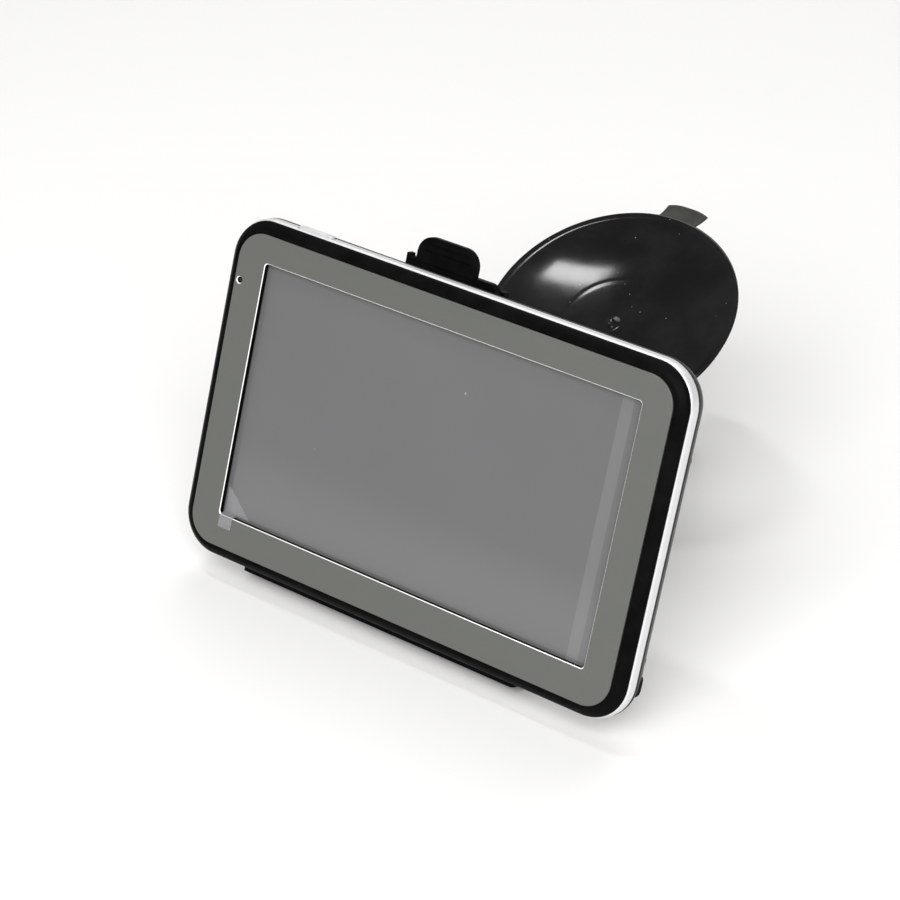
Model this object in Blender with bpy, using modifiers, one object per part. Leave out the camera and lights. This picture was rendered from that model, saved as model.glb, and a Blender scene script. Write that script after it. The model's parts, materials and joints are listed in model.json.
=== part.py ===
"""Portable GPS navigator in its clip-on cradle, held by a ball joint and an arm to a suction-cup base.

The whole thing stands like an easel: it rests on the cradle's bottom lip in front and on the arm's
knuckle behind, with the screen leaning back and the suction cup open to the front and above.

Sizes are in millimetres until a mesh is made. World frame: X to the viewer's right, +Y away from
the viewer, +Z up, origin on the table under the middle of the assembly. Most pieces are drawn in a
tilted local frame:
  device frame   origin at the middle of the display window, X right, Y into the body, Z up the face
  arm frame      origin at the ball's centre, Y along the arm to the knuckle, Z across it
  cup frame      origin at the middle of the cup's rim, Z out of the suction face
"""

import math

import bmesh
import bpy
from mathutils import Matrix, Vector

MM = 0.001
GAP = 0.3  # space kept between neighbouring solids

# ---------------------------------------------------------------- driving dimensions
LEAN = math.radians(18.46)  # the screen leans back from upright
WINDOW_W, WINDOW_H = 112.0, 65.0
BODY_W, BODY_H, BODY_R = 129.12, 80.64, 7.4  # outlines of the case are offsets of this one
BODY_UP = -0.6  # the body's middle is this far up from the window's middle
PLATE_W, PLATE_H, PLATE_R, PLATE_T = 128.5, 80.3, 7.2, 0.6
PLATE_LEFT, PLATE_UP = -0.3, -0.77  # the plate's middle, from the window's middle
SEAM_FRONT, SEAM_REAR = 2.2, 5.3  # depths where the silver band starts and the rear cover starts
BODY_T = 12.5

MOUNT_X = -8.0  # the cradle and the mount are a little left of the screen's middle
CRADLE_FRONT, CRADLE_BACK = 13.0, 15.2
LIP_TOP, LIP_BOTTOM, LIP_FRONT, LIP_HALF = -44.6, -46.6, 6.5, 42.5

BALL_DEPTH, BALL_UP, BALL_R = 30.5, -15.0, 8.5
STUB_R = 3.0

CUP_TILT = math.radians(26.9)  # the suction face leans this far from straight up, to the front
CUP_R, SEAL_R, CUP_DEPTH = 34.25, 32.4, 4.0
CUP_BEHIND, CUP_ABOVE = 89.1, 48.8  # rim centre: behind the window's middle, above the table
KNUCKLE_R = 10.0
EYE_HALF, EAR_IN, EAR_OUT = 4.2, 5.4, 9.4
BOLT_R = 2.5

LEVER_AT = (8.0, -18.0)  # the lever's pivot in the cup frame (Y, Z)
LEVER_SWING = math.radians(50.0)

DEPTH_MIDDLE = 58.35  # the assembly's middle, behind the window's middle

SIDES = 24  # facets round a small turned piece
CORNER_STEPS = 5

# ---------------------------------------------------------------- derived places
TABLE = -(CRADLE_BACK * math.sin(LEAN) - LIP_BOTTOM * math.cos(LEAN))
WINDOW_AT = Vector((0, -DEPTH_MIDDLE, -TABLE))
CUP_AT = Vector((MOUNT_X, CUP_BEHIND - DEPTH_MIDDLE, CUP_ABOVE))
STALK = (CUP_ABOVE - KNUCKLE_R) / math.cos(CUP_TILT)
KNUCKLE_AT = CUP_AT + STALK * Vector((0, math.sin(CUP_TILT), -math.cos(CUP_TILT)))
BALL_AT = WINDOW_AT + Matrix.Rotation(-LEAN, 3, "X") @ Vector((MOUNT_X, BALL_DEPTH, BALL_UP))
ARM_RUN = KNUCKLE_AT - BALL_AT
ARM_LENGTH = ARM_RUN.length
ARM_SLOPE = math.atan2(ARM_RUN.z, ARM_RUN.y)


# ---------------------------------------------------------------- scene and helpers
def empty_scene():
    for old in list(bpy.data.objects):
        bpy.data.objects.remove(old)
    for name in ("portable_gps_navigator", "cutters"):
        bpy.context.scene.collection.children.link(bpy.data.collections.new(name))


def frame(name, at, tilt):
    """An empty that carries a tilted local frame."""
    empty = bpy.data.objects.new(name, None)
    empty.location = at * MM
    empty.rotation_euler = (tilt, 0, 0)
    bpy.data.collections["portable_gps_navigator"].objects.link(empty)
    return empty


def material(name, colour, roughness, metallic=0.0, alpha=1.0):
    made = bpy.data.materials.get(name)
    if made is None:
        made = bpy.data.materials.new(name)
        made.use_nodes = True
        shader = made.node_tree.nodes["Principled BSDF"]
        shader.inputs["Base Color"].default_value = (*colour, 1)
        shader.inputs["Roughness"].default_value = roughness
        shader.inputs["Metallic"].default_value = metallic
        shader.inputs["Alpha"].default_value = alpha
    return made


FINISHES = {
    "black_plastic": ((0.02, 0.02, 0.021), 0.45),
    "satin_silver": ((0.62, 0.62, 0.64), 0.35, 0.9),
    "gunmetal": ((0.2, 0.21, 0.19), 0.4, 0.8),
    "screen_glass": ((0.21, 0.21, 0.215), 0.2),
    "clear_film": ((0.6, 0.6, 0.62), 0.15, 0.0, 0.3),
    "green_board": ((0.02, 0.12, 0.05), 0.5),
    "tin_plate": ((0.55, 0.55, 0.54), 0.35, 1.0),
    "steel": ((0.5, 0.5, 0.5), 0.3, 1.0),
    "ceramic": ((0.72, 0.66, 0.5), 0.6),
    "battery_foil": ((0.6, 0.6, 0.58), 0.4, 0.6),
    "black_rubber": ((0.012, 0.012, 0.012), 0.25),
    "dark_lens": ((0.01, 0.01, 0.01), 0.1),
}


def put(name, bm, finish, parent, origin=(0, 0, 0)):
    """Turns a bmesh drawn in the parent's frame, in millimetres, into an object whose origin is at origin."""
    bmesh.ops.recalc_face_normals(bm, faces=bm.faces)
    mesh = bpy.data.meshes.new(name)
    bm.transform(Matrix.Scale(MM, 4) @ Matrix.Translation(-Vector(origin)))
    bm.to_mesh(mesh)
    bm.free()
    made = bpy.data.objects.new(name, mesh)
    made.parent = parent
    made.location = Vector(origin) * MM
    if finish is None:
        made.hide_render = True
        made.display_type = "WIRE"
        bpy.data.collections["cutters"].objects.link(made)
    else:
        mesh.materials.append(material(finish, *FINISHES[finish]))
        bpy.data.collections["portable_gps_navigator"].objects.link(made)
    return made


def combine(target, tool, operation):
    step = target.modifiers.new(tool.name, "BOOLEAN")
    step.operation = operation
    step.object = tool
    return target


def cut(target, *tools):
    for tool in tools:
        combine(target, tool, "DIFFERENCE")


def join(target, *tools):
    for tool in tools:
        combine(target, tool, "UNION")


def box(x, y, z):
    """A bmesh block between the two ends given for each axis."""
    bm = bmesh.new()
    size = [hi - lo for lo, hi in (x, y, z)]
    middle = [(lo + hi) / 2 for lo, hi in (x, y, z)]
    place = Matrix.Translation(middle) @ Matrix.Diagonal((*size, 1))
    bmesh.ops.create_cube(bm, size=1, matrix=place)
    return bm


ALONG = {
    "X": Matrix.Rotation(math.pi / 2, 4, "Y"),
    "Y": Matrix.Rotation(-math.pi / 2, 4, "X"),
    "Z": Matrix.Identity(4),
}


def rod(axis, middle, radius, reach, sides=SIDES):
    """A bmesh cylinder along an axis; middle is its centre and reach is half its length."""
    bm = bmesh.new()
    bmesh.ops.create_cone(
        bm, cap_ends=True, segments=sides, radius1=radius, radius2=radius, depth=2 * reach,
        matrix=Matrix.Translation(middle) @ ALONG[axis],
    )
    return bm


def prism(outline, axis, low, high):
    """A bmesh slab: a flat outline given in the two other axes, in X, Y, Z order, from low to high along axis."""
    place = {"X": lambda a, b, c: (c, a, b), "Y": lambda a, b, c: (a, c, b), "Z": lambda a, b, c: (a, b, c)}[axis]
    bm = bmesh.new()
    face = bm.faces.new([bm.verts.new(place(a, b, low)) for a, b in outline])
    moved = bmesh.ops.extrude_face_region(bm, geom=[face])["geom"]
    points = [v for v in moved if isinstance(v, bmesh.types.BMVert)]
    bmesh.ops.translate(bm, verts=points, vec=Vector(place(0, 0, high - low)))
    return bm


def rounded(corners, steps=4):
    """A flat outline from corners (a, b, radius), each rounded with an arc."""
    points = []
    count = len(corners)
    for i, (a, b, radius) in enumerate(corners):
        here = Vector((a, b))
        back = (Vector(corners[i - 1][:2]) - here).normalized()
        ahead = (Vector(corners[(i + 1) % count][:2]) - here).normalized()
        if radius == 0:
            points.append(tuple(here))
            continue
        half = back.angle(ahead) / 2
        centre = here + (back + ahead).normalized() * (radius / math.sin(half))
        start = here + back * (radius / math.tan(half)) - centre
        turn = start.angle_signed(here + ahead * (radius / math.tan(half)) - centre)
        for k in range(steps + 1):
            spun = start.copy()
            spun.rotate(Matrix.Rotation(-turn * k / steps, 2))
            points.append(tuple(centre + spun))
    return points


def turned(name, profile, finish, parent, axis="Z", at=(0, 0, 0), sides=SIDES, closed=False):
    """A turned piece: profile points (radius, height along axis). A closed profile makes a ring."""
    loop = profile + profile[:1] if closed else [(0, profile[0][1])] + profile + [(0, profile[-1][1])]
    area = sum(r0 * h1 - r1 * h0 for (r0, h0), (r1, h1) in zip(loop, loop[1:] + loop[:1]))
    points = profile if closed else [p for i, p in enumerate(loop) if i == 0 or p != loop[i - 1]]
    if area > 0:
        points = points[::-1]
    mesh = bpy.data.meshes.new(name)
    ends = [(i, i + 1) for i in range(len(points) - 1)]
    if closed:
        ends.append((len(points) - 1, 0))
    mesh.from_pydata([(r * MM, 0, h * MM) for r, h in points], ends, [])
    made = bpy.data.objects.new(name, mesh)
    made.parent = parent
    made.location = Vector(at) * MM
    made.rotation_euler = ALONG[axis].to_euler()
    spin = made.modifiers.new("turn", "SCREW")
    spin.steps = spin.render_steps = sides
    spin.use_merge_vertices = True
    spin.merge_threshold = 0.00001
    if finish is None:
        made.hide_render = True
        made.display_type = "WIRE"
        bpy.data.collections["cutters"].objects.link(made)
    else:
        mesh.materials.append(material(finish, *FINISHES[finish]))
        bpy.data.collections["portable_gps_navigator"].objects.link(made)
    return made


def outline(half_w, half_h, radius, depth, middle_x=0.0, middle_z=0.0):
    """A rounded rectangle of points across the device frame, at a depth."""
    points = []
    for corner in range(4):
        sx, sz = ((1, 1), (-1, 1), (-1, -1), (1, -1))[corner]
        for k in range(CORNER_STEPS + 1):
            angle = math.pi / 2 * (corner + k / CORNER_STEPS)
            points.append((
                middle_x + sx * (half_w - radius) + radius * math.cos(angle),
                depth,
                middle_z + sz * (half_h - radius) + radius * math.sin(angle),
            ))
    return points


def body_loop(offset, depth):
    return outline(BODY_W / 2 + offset, BODY_H / 2 + offset, BODY_R + offset, depth, 0, BODY_UP)


def plate_loop(offset, depth):
    return outline(
        PLATE_W / 2 + offset, PLATE_H / 2 + offset, PLATE_R + offset, depth, PLATE_LEFT, PLATE_UP)


def window_loop(offset, depth):
    return outline(WINDOW_W / 2 + offset, WINDOW_H / 2 + offset, 1.0, depth)


def loft(loops, ring=False):
    """A bmesh skin through loops of equal length: a ring when the last meets the first, else capped at both ends."""
    bm = bmesh.new()
    rows = [[bm.verts.new(p) for p in loop] for loop in loops]
    pairs = list(zip(rows, rows[1:]))
    if ring:
        pairs.append((rows[-1], rows[0]))
    else:
        bm.faces.new(rows[0])
        bm.faces.new(rows[-1])
    count = len(rows[0])
    for a, b in pairs:
        for i in range(count):
            j = (i + 1) % count
            bm.faces.new((a[i], a[j], b[j], b[i]))
    return bm


# ---------------------------------------------------------------- the navigator's case
SCREW_X, SCREW_UP = 62.7, (20.0, -29.0)
SCREWS = [(side * SCREW_X, z) for z in SCREW_UP for side in (-1, 1)]
LED_AT = (-63.0, 26.3)
BUTTON_X = (-50.4, -40.0)
STYLUS_Y, STYLUS_Z, STYLUS_R = 8.6, -34.6, 1.5
USB_Z, CARD_Z, JACK_Z, JACK_Y = 10.0, -8.0, -22.0, 8.3
PORT_X = -65.0
SPEAKER_AT = (47.0, 12.0)
LATCH_HALF = 13.5


def bezel_plate(device):
    loops = [
        plate_loop(-0.15, 0), plate_loop(0, 0.15), plate_loop(0, PLATE_T),
        window_loop(0, PLATE_T), window_loop(0, 0.2), window_loop(0.2, 0),
    ]
    made = put("bezel_plate", loft(loops, ring=True), "gunmetal", device)
    hole = put("led_hole", rod("Y", (LED_AT[0], 0, LED_AT[1]), 0.8, 2, 12), None, device)
    cut(made, hole)


def front_housing(device):
    """The black frame round the plate: a bevelled rim outside and a flange under the plate."""
    loops = [
        plate_loop(GAP, 0.1), body_loop(1.2, 0.25), body_loop(2.1, 0.85), body_loop(2.65, 1.5),
        body_loop(2.87, SEAM_FRONT), body_loop(-1.0, SEAM_FRONT), body_loop(-1.0, 1.6),
        window_loop(0.6, 1.6), window_loop(0.6, PLATE_T + GAP), plate_loop(GAP, PLATE_T + GAP),
    ]
    made = put("front_housing", loft(loops, ring=True), "black_plastic", device)
    for i, (x, z) in enumerate(SCREWS):
        boss = put(f"front_boss_{i}", rod("Y", (x, 5.4, z), 1.9, 3.5, 12), None, device)
        pilot = put(f"front_pilot_{i}", rod("Y", (x, 7.5, z), 1.1, 4.0, 12), None, device)
        join(made, boss)
        cut(made, pilot)
    hole = put("led_flange_hole", rod("Y", (LED_AT[0], 0, LED_AT[1]), 0.9, 3, 12), None, device)
    cut(made, hole)


def mid_frame(device):
    """The silver band, with a notch at the top for the power button."""
    front, rear = SEAM_FRONT + GAP, SEAM_REAR - GAP
    loops = [
        body_loop(2.85, front), body_loop(3.2, front + 0.35), body_loop(3.4, front + 1.2),
        body_loop(3.4, rear - 0.5), body_loop(3.3, rear), body_loop(1.0, rear), body_loop(1.0, front),
    ]
    made = put("mid_frame", loft(loops, ring=True), "satin_silver", device)
    low, high = BUTTON_X
    notch = put("button_notch", box((low - GAP, high + GAP), (2.85, 7), (36, 50)), None, device)
    cut(made, notch)


def rear_cover(device):
    """The back shell: a tray whose walls lean in and round over to the back."""
    inner = [(-3.0, 11.3), (-1.6, 11.0), (0.4, 9.9), (1.3, 8.2), (1.8, 6.4), (2.0, SEAM_REAR)]
    outer = [(3.4, SEAM_REAR), (3.15, 6.6), (2.35, 8.4), (1.05, 10.25), (-0.8, 11.75), (-3.4, BODY_T)]
    made = put("rear_cover", loft([body_loop(a, y) for a, y in inner + outer]), "black_plastic", device)
    for i, (x, z) in enumerate(SCREWS):
        seat = put(f"rear_boss_{i}", rod("Y", (x, 10.4, z), 2.6, 1.2, 16), None, device)
        well = put(f"head_well_{i}", rod("Y", (x, 13.0, z), 2.0, 2.9, 16), None, device)
        hole = put(f"shank_hole_{i}", rod("Y", (x, 10, z), 1.1, 3, 12), None, device)
        join(made, seat)
        cut(made, well, hole)
    usb = put("usb_opening", box((-75, -60), (7.5, 11.0), (USB_Z - 4.3, USB_Z + 4.3)), None, device)
    card = put("card_opening", box((-75, -60), (7.9, 9.5), (CARD_Z - 5.8, CARD_Z + 5.8)), None, device)
    jack = put("jack_opening", rod("X", (-68, JACK_Y, JACK_Z), 2.1, 6, 16), None, device)
    pen = put("stylus_opening", rod("X", (66, STYLUS_Y, STYLUS_Z), 2.5, 6, 16), None, device)
    notch_x = (MOUNT_X - LATCH_HALF - 0.5, MOUNT_X + LATCH_HALF + 0.5)
    notch = put("latch_notch", box(notch_x, (8.4, 11.0), (41.2, 50)), None, device)
    cut(made, usb, card, jack, pen, notch)
    for i in range(5):
        z = SPEAKER_AT[1] + 3 * (i - 2)
        reach = 7 - abs(i - 2)
        slot = box((SPEAKER_AT[0] - reach, SPEAKER_AT[0] + reach), (10.9, 14), (z - 0.6, z + 0.6))
        cut(made, put(f"speaker_slot_{i}", slot, None, device))


def case_screws(device):
    for i, (x, z) in enumerate(SCREWS, start=1):
        profile = [(1.6, 11.2), (1.6, 10.3), (0.8, 10.3), (0.8, 4.0)]
        turned(f"case_screw_{i}", profile, "steel", device, "Y", (x, 0, z), 16)


def power_button(device):
    """A silver cap in the band's notch, with a foot that reaches back over the display to the switch."""
    low, high = BUTTON_X
    crest = BODY_UP + BODY_H / 2 + 3.9
    at = ((low + high) / 2, 4.0, crest)
    made = put("power_button", box((low, high), (3.15, 5.0), (40.0, crest)), "satin_silver", device, at)
    foot = put("button_foot", box((low - 1.2, high + 1.2), (3.15, 7.6), (39.4, 40.2)), None, device)
    toe = put("button_toe", box((at[0] - 1.5, at[0] + 1.5), (6.5, 7.6), (36.6, 39.9)), None, device)
    join(made, foot, toe)


def screen(device):
    """Touch panel, display and the protective film with its pull tab."""
    panel = loft([window_loop(3, 1.9), window_loop(3, 2.9)])
    put("touch_panel", panel, "screen_glass", device)
    put("lcd_module", box((-60.35, 60.35), (3.2, 6.0), (-37.9, 37.9)), "tin_plate", device)
    film = put("screen_film", loft([window_loop(-0.3, 1.55), window_loop(-0.3, 1.7)]), "clear_film", device)
    tab_x = (-56.6 + 0.9, -51.8)
    riser = put("film_riser", box(tab_x, (-0.5, 1.6), (-32.2, -32.0)), None, device)
    tab = put("film_tab", box(tab_x, (-0.5, -0.3), (-35.8, -32.1)), None, device)
    join(film, riser, tab)


def electronics(device):
    put("main_board", box((-53, 36), (6.4, 7.4), (-27, 29.5)), "green_board", device)
    put("processor_shield", box((-46, -26), (7.7, 9.4), (-26, -4)), "tin_plate", device)
    put("gps_antenna", box((-45, -27), (7.7, 10.8), (8, 26)), "ceramic", device)
    battery = put("battery", box((-22, 34), (7.8, 10.9), (-24, 16)), "battery_foil", device)
    battery.modifiers.new("soft_edges", "BEVEL").width = 0.8 * MM
    speaker = [(9.6, 10.9), (10.0, 10.4), (10.0, 9.4), (7.0, 7.8), (5.0, 7.0)]
    turned("speaker", speaker, "black_plastic", device, "Y", (SPEAKER_AT[0], 0, SPEAKER_AT[1]))
    put("power_switch", box((-48.2, -42.2), (6.3, 8.6), (29.8, 35.7)), "tin_plate", device)
    lens = rod("Y", (LED_AT[0], 1.6, LED_AT[1]), 0.5, 1.2, 12)
    put("status_led_lens", lens, "dark_lens", device)


def ports(device):
    usb = put("usb_socket", box((PORT_X, -57), (7.7, 10.9), (USB_Z - 4.0, USB_Z + 4.0)), "tin_plate", device)
    mouth = box((PORT_X - 1, -58), (8.1, 10.5), (USB_Z - 3.6, USB_Z + 3.6))
    cut(usb, put("usb_mouth", mouth, None, device))
    reader = put("card_socket", box((PORT_X, -48.5), (7.7, 9.8), (CARD_Z - 7, CARD_Z + 7)), "tin_plate", device)
    pocket = box((PORT_X - 1, -50.5), (7.95, 9.45), (CARD_Z - 5.8, CARD_Z + 5.8))
    cut(reader, put("card_pocket", pocket, None, device))
    card_x = (-66.4, -51.4)
    card = box(card_x, (8.25, 9.15), (CARD_Z - 5.5, CARD_Z + 5.5))
    put("memory_card", card, "black_plastic", device, (card_x[0], 8.7, CARD_Z))
    jack = put("earphone_jack", box((-63.4, -53.3), (6.3, 10.3), (JACK_Z - 3, JACK_Z + 3)), "black_plastic", device)
    bore = rod("X", (PORT_X, JACK_Y, JACK_Z), 1.75, 10, 16)
    cut(jack, put("jack_bore", bore, None, device))


def stylus(device):
    """The pen and the tube that holds it; its head stands out at the lower right corner."""
    at = (66.4, STYLUS_Y, STYLUS_Z)
    pen = [(2.2, 0), (2.2, -2.7), (STYLUS_R, -2.7), (STYLUS_R, -78), (0.5, -82)]
    turned("stylus", pen, "black_plastic", device, "X", at, 16)
    tube = [(2.2, -8.5), (2.2, -80), (STYLUS_R + GAP, -80), (STYLUS_R + GAP, -8.5)]
    turned("stylus_tube", tube, "black_plastic", device, "X", at, 16, closed=True)


# ---------------------------------------------------------------- the cradle
def cradle(device):
    """A back plate with a lip under the case and two rails behind for the ball's head plate."""
    foot = LIP_HALF
    corners = [
        (-foot, LIP_BOTTOM, 1.5), (foot, LIP_BOTTOM, 1.5), (foot, -33, 5), (21, -24, 8),
        (21, 12, 10), (LATCH_HALF, 26.5, 0), (-LATCH_HALF, 26.5, 0), (-21, 12, 10),
        (-21, -24, 8), (-foot, -33, 5),
    ]
    plate = prism([(MOUNT_X + a, b) for a, b in rounded(corners)], "Y", CRADLE_FRONT, CRADLE_BACK)
    made = put("cradle", plate, "black_plastic", device)
    lip_x = (MOUNT_X - foot, MOUNT_X + foot)
    lip = put("cradle_lip", box(lip_x, (LIP_FRONT, CRADLE_FRONT + 1), (LIP_BOTTOM, LIP_TOP)), None, device)
    join(made, lip)
    for side in (-1, 1):
        rail = [(15.3, 14.5), (18.3, 14.5), (18.3, 20.4), (12.5, 20.4), (12.5, 19.0), (15.3, 19.0)]
        shape = prism([(MOUNT_X + side * a, b) for a, b in rail], "Z", BALL_UP - 13, BALL_UP + 12)
        join(made, put(f"cradle_rail_{side + 1}", shape, None, device))
    stop = box((MOUNT_X - 6, MOUNT_X + 6), (14.5, 18.4), (BALL_UP - 16, BALL_UP - 13.3))
    join(made, put("cradle_stop", stop, None, device))


LATCH_ROOT = (MOUNT_X, 14.1, 27.0)


def cradle_latch(device):
    """The springy tongue at the top: its bar drops over the case's back edge, its tab is pushed to release."""
    half = LATCH_HALF
    tongue = box((MOUNT_X - half, MOUNT_X + half), (CRADLE_FRONT, CRADLE_BACK), (26.8, 42.2))
    made = put("cradle_latch", tongue, "black_plastic", device, LATCH_ROOT)
    bar = [(9.0, 41.6), (10.2, 41.6), (10.8, 42.0), (13.0, 41.0), (15.2, 41.0), (15.2, 42.2), (11.0, 43.9),
           (11.0, 44.2), (9.0, 44.2)]
    shape = prism(bar, "X", MOUNT_X - half, MOUNT_X + half)
    join(made, put("latch_bar", shape, None, device))
    lug = put("latch_lug", box((MOUNT_X - half, MOUNT_X - half + 1.2), (9.0, 11.0), (43.5, 44.9)), None, device)
    join(made, lug)
    push = rounded([(-10.7, 43.6, 0), (7.0, 43.6, 0), (7.0, 50.3, 4.3), (-10.7, 50.3, 4.3)])
    shape = prism([(MOUNT_X + a, b) for a, b in push], "Y", 9.0, 10.7)
    join(made, put("latch_tab", shape, None, device))


# ---------------------------------------------------------------- the ball joint
def head_plate(device):
    """The plate that slides into the cradle's rails, with the stub that carries the ball."""
    corners = [(s * a, b, 2) for s, a, b in ((-1, 15, -13), (1, 15, -13), (1, 15, 13), (-1, 15, 13))]
    shape = prism([(MOUNT_X + a, BALL_UP + b) for a, b in rounded(corners)], "Y", 15.6, 18.7)
    made = put("head_plate", shape, "black_plastic", device)
    stub_from, stub_to = 18.0, BALL_DEPTH + 4.0
    middle = ((stub_from + stub_to) / 2, (stub_to - stub_from) / 2)
    stub = put("ball_stub", rod("Y", (MOUNT_X, middle[0], BALL_UP), STUB_R, middle[1]), None, device)
    tap = put("stub_tap", rod("Y", (MOUNT_X, stub_to, BALL_UP), 1.3, 7, 12), None, device)
    join(made, stub)
    cut(made, tap)


def sphere_arc(radius, start, end, steps):
    """Profile points (radius, height) on a sphere, between two angles from its +height pole, in degrees."""
    angles = [math.radians(start + (end - start) * k / steps) for k in range(steps + 1)]
    return [(radius * math.sin(a), radius * math.cos(a)) for a in angles]


def swivel_ball(device):
    """The ball turns on the stub: a bore through it and a well for the screw that keeps it on."""
    bore, well = STUB_R + GAP, 4.0
    well_angle = math.degrees(math.asin(well / BALL_R))
    bore_angle = 180 - math.degrees(math.asin(bore / BALL_R))
    profile = sphere_arc(BALL_R, well_angle, bore_angle, 10)
    profile += [(bore, 4.3), (well, 4.3)]
    turned("swivel_ball", profile, "black_plastic", device, "Y", (MOUNT_X, BALL_DEPTH, BALL_UP), 28, closed=True)
    screw = [(3.5, 6.6), (3.5, 4.6), (1.0, 4.6), (1.0, -1.5)]
    turned("ball_screw", screw, "steel", device, "Y", (MOUNT_X, BALL_DEPTH, BALL_UP), 16)


SEAT_IN, SEAT_OUT = BALL_R + GAP, BALL_R + 2.1
SOCKET_IN = SEAT_OUT + GAP
SOCKET_R, RING_R = 13.0, 15.6


def ball_seat(arm):
    """The friction cup between the ball and the socket."""
    profile = sphere_arc(SEAT_OUT, 25, 66, 4) + sphere_arc(SEAT_IN, 66, 25, 4)
    turned("ball_seat", profile, "black_rubber", arm, "Y", sides=28, closed=True)


def clamp_ring(arm):
    """The ring nut that holds the ball in the socket."""
    front = sphere_arc(BALL_R + GAP, 88, 130, 4)
    profile = [(SOCKET_R + GAP, 7.0), (RING_R, 7.0), (RING_R, -4.4), (14.2, -6.2), (12, -7.2), (8.1, -7.2)]
    profile += front[::-1]
    profile += [(SOCKET_R + GAP, 0.3)]
    turned("clamp_ring", profile, "black_plastic", arm, "Y", sides=28, closed=True)


# ---------------------------------------------------------------- the arm
def support_arm(arm):
    """Socket at the front end, a tapering beam, and an eye at the knuckle."""
    socket = [(10.3, 0.8), (SOCKET_R, 0.8), (SOCKET_R, 9.0), (9.0, 14.0)]
    made = turned("support_arm", socket, "black_plastic", arm, "Y", sides=28)
    eye_at = ARM_LENGTH
    beam = [(9, -7.5), (9, 7.5), (16, 7.0), (50, 5.6), (eye_at - 14, 4.6), (eye_at, 6), (eye_at, -6),
            (eye_at - 14, -5.6), (50, -6.6), (16, -7.5)]
    thin = put("arm_beam", prism(beam, "X", -EYE_HALF, EYE_HALF), None, arm)
    wide = [(9, -8.0), (9, 8.0), (16, 7.4), (50, 6.0), (66, 5.3), (66, -6.3), (50, -7.0), (16, -8.0)]
    thick = put("arm_flanks", prism(wide, "X", -7.5, 7.5), None, arm)
    eye = put("arm_eye", rod("X", (0, eye_at, 0), KNUCKLE_R - 0.5, EYE_HALF, 28), None, arm)
    join(made, thin, thick, eye)
    for side in (-1, 1):
        pocket = [(20, -4.6), (20, 4.2), (60, 2.6), (60, -3.6)]
        ends = sorted((side * 4.5, side * 9.0))
        cut(made, put(f"arm_pocket_{side + 1}", prism(pocket, "X", *ends), None, arm))
    hollow = turned("socket_hollow", sphere_arc(SOCKET_IN, 0, 90, 7) + [(SOCKET_IN, -3)], None, arm, "Y", sides=28)
    bore = put("arm_bore", rod("X", (0, eye_at, 0), BOLT_R + GAP, 20), None, arm)
    cut(made, hollow, bore)


# ---------------------------------------------------------------- the suction base
def knuckle(cup):
    """Bolt, washers and knob on the pivot between the arm and the base."""
    low = -STALK
    for side, name in ((-1, "washer_left"), (1, "washer_right")):
        middle = side * (EYE_HALF + EAR_IN) / 2
        ring = [(7.5, 0.3), (7.5, -0.3), (BOLT_R + GAP, -0.3), (BOLT_R + GAP, 0.3)]
        turned(name, ring, "black_rubber", cup, "X", (middle, 0, low), 24, closed=True)
    bolt = put("pivot_bolt", rod("X", ((EAR_OUT - 0.2 - 16.5) / 2, 0, low), BOLT_R, (EAR_OUT - 0.2 + 16.5) / 2),
               "steel", cup, (0, 0, low))
    head = put("bolt_head", rod("X", (EAR_OUT - 1.6, 0, low), 4.3, 1.4, 6), None, cup)
    join(bolt, head)
    knob_in, knob_out = -EAR_OUT - GAP, -EAR_OUT - 9.0
    lobes = []
    for k in range(48):
        angle = 2 * math.pi * k / 48
        radius = 9.1 + 0.5 * math.cos(8 * angle)
        lobes.append((radius * math.cos(angle), low + radius * math.sin(angle)))
    knob = put("tension_knob", prism(lobes, "X", knob_out, knob_in), "black_plastic", cup, (0, 0, low))
    knob_bore = put("knob_bore", rod("X", (knob_in, 0, low), BOLT_R + GAP, 8), None, cup)
    cut(knob, knob_bore)


def base_cap(cup):
    """The hard shell behind the rubber: spring chamber, lever slot, and two ears for the knuckle."""
    low = -STALK
    dome = [(24, -6.6), (26, -6.6), (26, -8.2), (22.5, -13.6), (17.5, -18.6), (14.5, -22.0), (12.5, -24.0)]
    made = turned("base_cap", dome, "black_plastic", cup, sides=36)
    neck, foot = 9.5, KNUCKLE_R
    arc = [math.radians(180 + 180 * k / 14) for k in range(15)]
    ear = [(neck, -20.0), (-neck, -20.0), (-foot, low + 8)]
    ear += [(foot * math.cos(a), low + foot * math.sin(a)) for a in arc]
    ear += [(foot, low + 8)]
    for side in (-1, 1):
        ends = sorted((side * EAR_IN, side * EAR_OUT))
        join(made, put(f"base_ear_{side + 1}", prism(ear, "X", *ends), None, cup))
    web = put("base_web", box((-EAR_OUT + 1, EAR_OUT - 1), (-4.0, 2.5), (low + KNUCKLE_R + 1.2, -20)), None, cup)
    join(made, web)
    chamber = turned("spring_chamber", [(13.6, -4), (13.6, -13.0)], None, cup)
    stem = put("stem_bore", rod("Z", (0, 0, -17), 5.6, 5.5), None, cup)
    py, pz = LEVER_AT
    slot = [(py - 6, pz + 5.2), (py + 4, pz + 5.2), (24, pz + 6.5), (30, pz + 16), (40, pz - 30), (12, pz - 14),
            (py - 6, pz - 5.4)]
    lever_slot = put("lever_slot", prism(slot, "X", -4.4, 4.4), None, cup)
    pin_hole = put("lever_pin_hole", rod("X", (0, py, pz), 1.7, 30, 14), None, cup)
    bolt_hole = put("bolt_hole", rod("X", (0, 0, low), BOLT_R + GAP, 30), None, cup)
    head_well = put("bolt_head_well", rod("X", (EAR_OUT + 1, 0, low), 4.9, 4.3, 6), None, cup)
    cut(made, chamber, stem, lever_slot, pin_hole, bolt_hole, head_well)


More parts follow.
